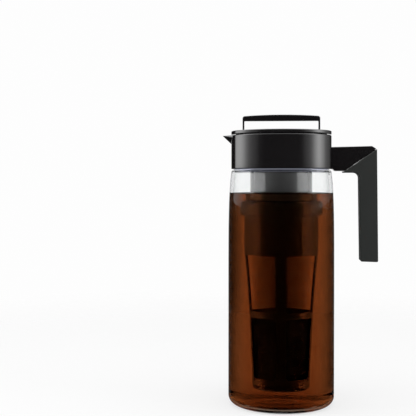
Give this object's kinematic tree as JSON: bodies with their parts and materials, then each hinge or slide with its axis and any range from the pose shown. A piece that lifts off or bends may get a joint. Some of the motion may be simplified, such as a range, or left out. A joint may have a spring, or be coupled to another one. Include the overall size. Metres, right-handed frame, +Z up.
{
  "type": "cold brew coffee maker",
  "caption": "Tall clear pitcher with a pouring collar and side handle, a screw-in lid with a folding bail, and a long mesh strainer that hangs from the lid.",
  "frame": {"origin": "middle of the pitcher's base, on the face that it stands on", "axes": "+Z up along the pitcher's axis; +X towards the handle; the beak points to -X"},
  "size_m": [0.1663, 0.1144, 0.3127],
  "materials": {
    "clear_plastic": "clear, polished",
    "gloss_black": "moulded, glossy",
    "soft_grip": "soft touch, matt",
    "seal": "silicone, satin",
    "strainer_plastic": "moulded, satin",
    "strainer_mesh": "fine woven nylon"
  },
  "bodies": {
    "pitcher": {"pitcher": "clear_plastic", "neck_seal": "seal", "collar": "gloss_black", "handle_grip": "soft_grip"},
    "strainer": {"strainer_frame": "strainer_plastic", "lower_mesh_1": "strainer_mesh", "lower_mesh_2": "strainer_mesh", "lower_mesh_3": "strainer_mesh", "lower_mesh_4": "strainer_mesh", "upper_mesh_1": "strainer_mesh", "upper_mesh_2": "strainer_mesh", "upper_mesh_3": "strainer_mesh", "upper_mesh_4": "strainer_mesh", "strainer_cap": "strainer_plastic"},
    "seal_ring": {"lid_seal": "seal"},
    "lid": {"lid_cover": "gloss_black", "lid_plug": "gloss_black"},
    "bail": {"bail": "gloss_black"}
  },
  "joints": [
    {"name": "strainer_lift", "type": "slide", "parent": "pitcher", "child": "strainer", "axis": [0, 0, 1], "range_m": [0, 0.28]},
    {"name": "lid_off", "type": "slide", "parent": "strainer", "child": "seal_ring", "axis": [0, 0, 1], "range_m": [0, 0.06]},
    {"name": "lid_turn", "type": "hinge", "parent": "seal_ring", "child": "lid", "pos_m": [0, 0, 0.288], "axis": [0, 0, 1], "range_deg": [0, 90]},
    {"name": "bail_fold", "type": "hinge", "parent": "lid", "child": "bail", "pos_m": [0, 0, 0.2917], "axis": [1, 0, 0], "range_deg": [-90, 90]}
  ]
}
